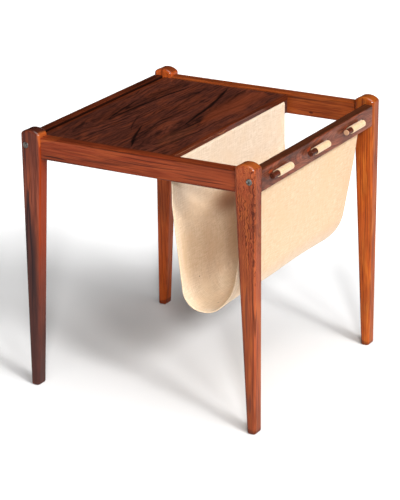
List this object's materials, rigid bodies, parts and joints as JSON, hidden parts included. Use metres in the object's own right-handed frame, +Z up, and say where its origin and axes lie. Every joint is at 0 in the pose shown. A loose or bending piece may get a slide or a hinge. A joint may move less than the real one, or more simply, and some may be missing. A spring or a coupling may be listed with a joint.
{
  "type": "magazine side table",
  "caption": "Low wooden side table with plank legs, a recessed veneered panel on one side and a canvas magazine sling hung from a slotted rail by pegged cloth loops.",
  "frame": {"origin": "on the floor under the middle of the whole table, pegs included", "axes": "+X along the front rail from the panel to the magazine sling, +Y from the front to the back, +Z up"},
  "size_m": [0.4524, 0.461, 0.4625],
  "materials": {
    "rosewood": "oiled rosewood, satin",
    "rosewood_veneer": "dark figured rosewood veneer, satin",
    "panel_core": "bare chipboard core",
    "beech": "bare planed beech",
    "steel": "dull grey steel",
    "canvas": "natural cream canvas, plain weave"
  },
  "bodies": {
    "table": {"leg_front_left": "rosewood", "leg_front_right": "rosewood", "leg_back_left": "rosewood", "leg_back_right": "rosewood", "rail_front": "rosewood", "rail_back": "rosewood", "rail_left": "rosewood", "rail_right": "rosewood", "cross_rail": "beech", "panel_core": "panel_core", "panel_veneer_top": "rosewood_veneer", "panel_veneer_underside": "rosewood_veneer", "panel_lipping_left": "rosewood", "panel_lipping_right": "rosewood", "cleat_front": "beech", "cleat_back": "beech", "cleat_left": "beech", "long_rail_dowels": "beech", "side_rail_dowels": "beech", "cross_rail_dowels": "beech", "frame_bolts": "steel", "barrel_nuts": "steel", "cleat_screws": "steel", "panel_screws": "steel", "sling_tacks": "steel", "sling_canvas": "canvas", "sling_loop_front": "canvas", "sling_loop_middle": "canvas", "sling_loop_back": "canvas"},
    "front_peg": {"peg_front": "rosewood"},
    "middle_peg": {"peg_middle": "rosewood"},
    "back_peg": {"peg_back": "rosewood"}
  },
  "joints": [
    {"name": "front_peg_slide", "type": "slide", "parent": "table", "child": "front_peg", "axis": [0, -1, 0], "range_m": [-0.018, 0.04]},
    {"name": "middle_peg_slide", "type": "slide", "parent": "table", "child": "middle_peg", "axis": [0, -1, 0], "range_m": [-0.018, 0.04]},
    {"name": "back_peg_slide", "type": "slide", "parent": "table", "child": "back_peg", "axis": [0, -1, 0], "range_m": [-0.018, 0.04]}
  ]
}
